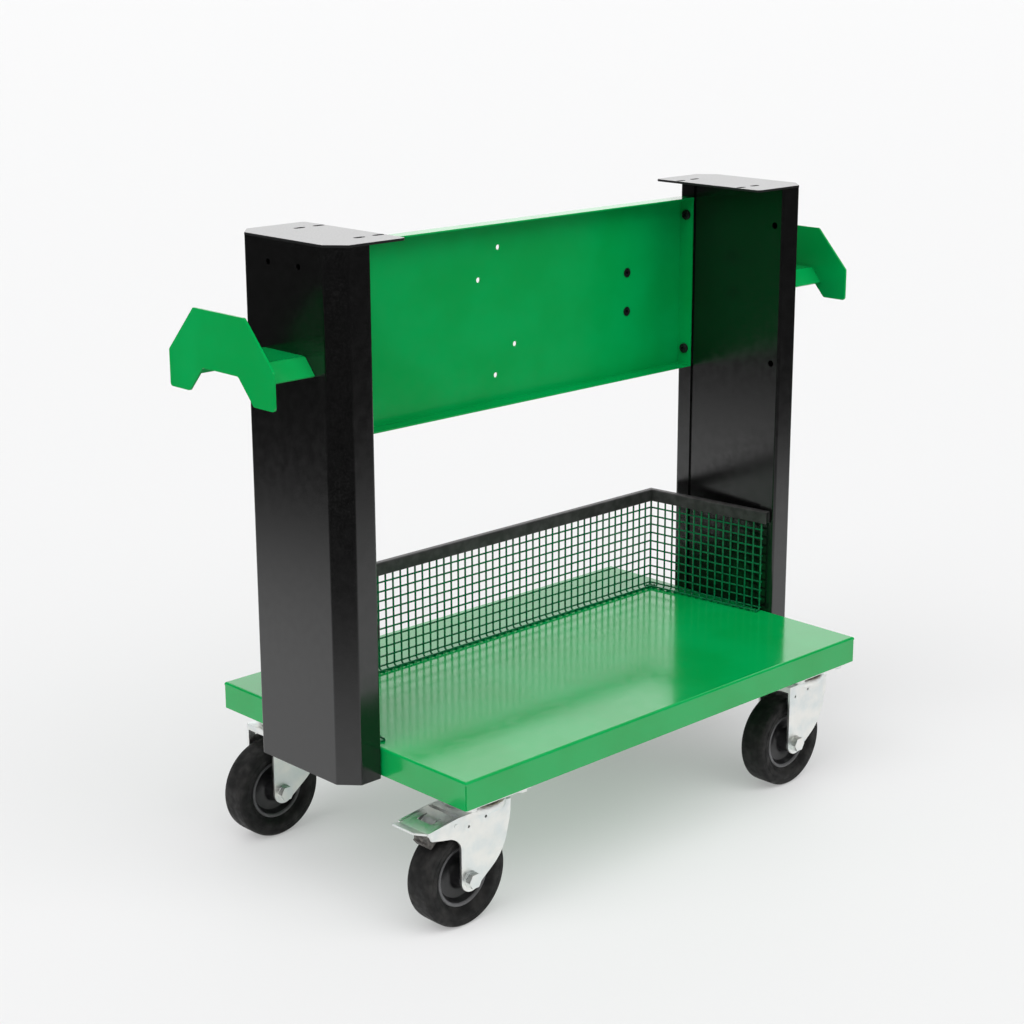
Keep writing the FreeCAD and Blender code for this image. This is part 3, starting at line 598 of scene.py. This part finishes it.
# ---- caster details ---------------------------------------------------------------------
def ball_races():
    """Ring of balls in a cage between the two tracks."""
    for name in CASTERS:
        low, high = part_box("ball_race_" + name)
        centre = (low + high) / 2
        r_ball = (high.z - low.z) / 2
        r_ring = (high.x - low.x) / 2 - r_ball
        parts = []
        for i in range(BALLS):
            angle = 2 * math.pi * i / BALLS
            spot = centre + r_ring * Vector((math.cos(angle), math.sin(angle), 0))
            parts.append(ball(spot, r_ball))
        cage = [(r_ring - CAGE_IN, -CAGE_UNDER), (r_ring + CAGE_OUT, -CAGE_UNDER),
                (r_ring + CAGE_OUT, CAGE_OVER), (r_ring - CAGE_IN, CAGE_OVER)]
        parts.append(turned_z(cage, centre))
        piece = make_object("balls_" + name, *join_parts(parts), 50)
        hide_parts("ball_race_" + name)
        finish_piece(piece, "race_ring", "swivel_" + name)


# ---- stage ------------------------------------------------------------------------------
FLOOR_SIZE = 60.0
FLOOR_COLOR = (0.49, 0.49, 0.493)
FLOOR_GLOW = 0.31
SWEEP_CENTRE = (0.6, 0.6, 0.0)
SWEEP_NEAR = 1.4
SWEEP_FAR = 2.6
SWEEP_DIM = 0.97


def floor():
    """Pale paper sweep; what lies beyond it is left dim in reflections."""
    verts = [(x * FLOOR_SIZE, y * FLOOR_SIZE, 0) for x, y in ((-1, -1), (1, -1), (1, 1), (-1, 1))]
    piece = make_object("floor", verts, [(0, 1, 2, 3)])
    material = new_material("pale_floor", FLOOR_COLOR, 0.6, specular=0.1)
    shader_of(material).inputs["Emission Color"].default_value = (1, 1, 1, 1)
    tree = material.node_tree
    place = tree.nodes.new("ShaderNodeTexCoord")
    reach = tree.nodes.new("ShaderNodeVectorMath")
    reach.operation = "DISTANCE"
    reach.inputs[1].default_value = SWEEP_CENTRE
    tree.links.new(place.outputs["Object"], reach.inputs[0])
    far = ramp(material, reach.outputs["Value"], SWEEP_NEAR, SWEEP_FAR, 0, SWEEP_DIM)
    rays = tree.nodes.new("ShaderNodeLightPath")
    dim = tree.nodes.new("ShaderNodeMath")
    dim.operation = "MULTIPLY"
    tree.links.new(far, dim.inputs[0])
    tree.links.new(rays.outputs["Is Glossy Ray"], dim.inputs[1])
    connect(material, blend_colors(material, dim.outputs["Value"], FLOOR_COLOR, (0, 0, 0)),
            "Base Color")
    glow = ramp(material, dim.outputs["Value"], 0, 1, FLOOR_GLOW, 0)
    connect(material, glow, "Emission Strength")
    piece.data.materials.append(material)


LIGHTS = (
    # direction towards the light, cosine at its edge and core, strength on matt and on gloss
    ((-0.35, -0.45, 1.0), 0.76, 0.97, 2.4, 0.45),
    ((-1.0, 0.1, 0.75), 0.86, 0.97, 2.5, 1.0),
    ((0.35, -1.0, 0.8), 0.86, 0.97, 1.8, 0.5),
    ((0.8, 0.9, 0.12), 0.30, 0.85, 0.25, 1.5),
)
ROOM_FILL = 0.25
ROOM_GLOSS = 0.0
BACKDROP = 0.925


def studio_world():
    """Soft boxes overhead, at the left, in front and low behind the right, and a backdrop."""
    world = bpy.data.worlds.new("studio")
    world.use_nodes = True
    tree = world.node_tree
    shader = tree.nodes["Background"]
    shader.inputs["Color"].default_value = (1, 1, 1, 1)
    place = tree.nodes.new("ShaderNodeTexCoord")
    seen = tree.nodes.new("ShaderNodeLightPath")
    total = ramp(world, seen.outputs["Is Glossy Ray"], 0, 1, ROOM_FILL, ROOM_GLOSS)
    for direction, edge, core, matt, gloss in LIGHTS:
        dot = tree.nodes.new("ShaderNodeVectorMath")
        dot.operation = "DOT_PRODUCT"
        dot.inputs[1].default_value = Vector(direction).normalized()
        tree.links.new(place.outputs["Generated"], dot.inputs[0])
        spread = ramp(world, dot.outputs["Value"], edge, core, 0.0, 1.0)
        strength = ramp(world, seen.outputs["Is Glossy Ray"], 0, 1, matt, gloss)
        add = tree.nodes.new("ShaderNodeMath")
        add.operation = "MULTIPLY_ADD"
        tree.links.new(spread, add.inputs[0])
        tree.links.new(strength, add.inputs[1])
        tree.links.new(total, add.inputs[2])
        total = add.outputs["Value"]
    pick = tree.nodes.new("ShaderNodeMix")
    tree.links.new(seen.outputs["Is Camera Ray"], pick.inputs["Factor"])
    tree.links.new(total, pick.inputs[2])
    pick.inputs[3].default_value = BACKDROP
    tree.links.new(pick.outputs[0], shader.inputs["Strength"])
    bpy.context.scene.world = world


CAMERA_TARGET = Vector((-0.0187, 0.0, 0.4262))
CAMERA_DISTANCE = 2.676
CAMERA_AZIMUTH = -44.41
CAMERA_ELEVATION = 15.37
CAMERA_LENS = 72.8
CAMERA_SHIFT = (-0.0263, -0.0148)


def camera():
    """Camera that looks from the front left, a little above the deck."""
    azimuth, elevation = math.radians(CAMERA_AZIMUTH), math.radians(CAMERA_ELEVATION)
    back = Vector((math.sin(azimuth) * math.cos(elevation),
                   -math.cos(azimuth) * math.cos(elevation),
                   math.sin(elevation)))
    data = bpy.data.cameras.new("camera")
    data.lens = CAMERA_LENS
    data.shift_x, data.shift_y = CAMERA_SHIFT
    viewer = bpy.data.objects.new("camera", data)
    viewer.location = CAMERA_TARGET + back * CAMERA_DISTANCE
    viewer.rotation_euler = (math.pi / 2 - elevation, 0, azimuth)
    bpy.context.scene.collection.objects.link(viewer)
    bpy.context.scene.camera = viewer
    bpy.context.scene.view_settings.view_transform = "Standard"


# ---- build ------------------------------------------------------------------------------
wire_guard()
guard_trim()
wheels()
ball_races()
dress_cad_nodes()
floor()
studio_world()
camera()
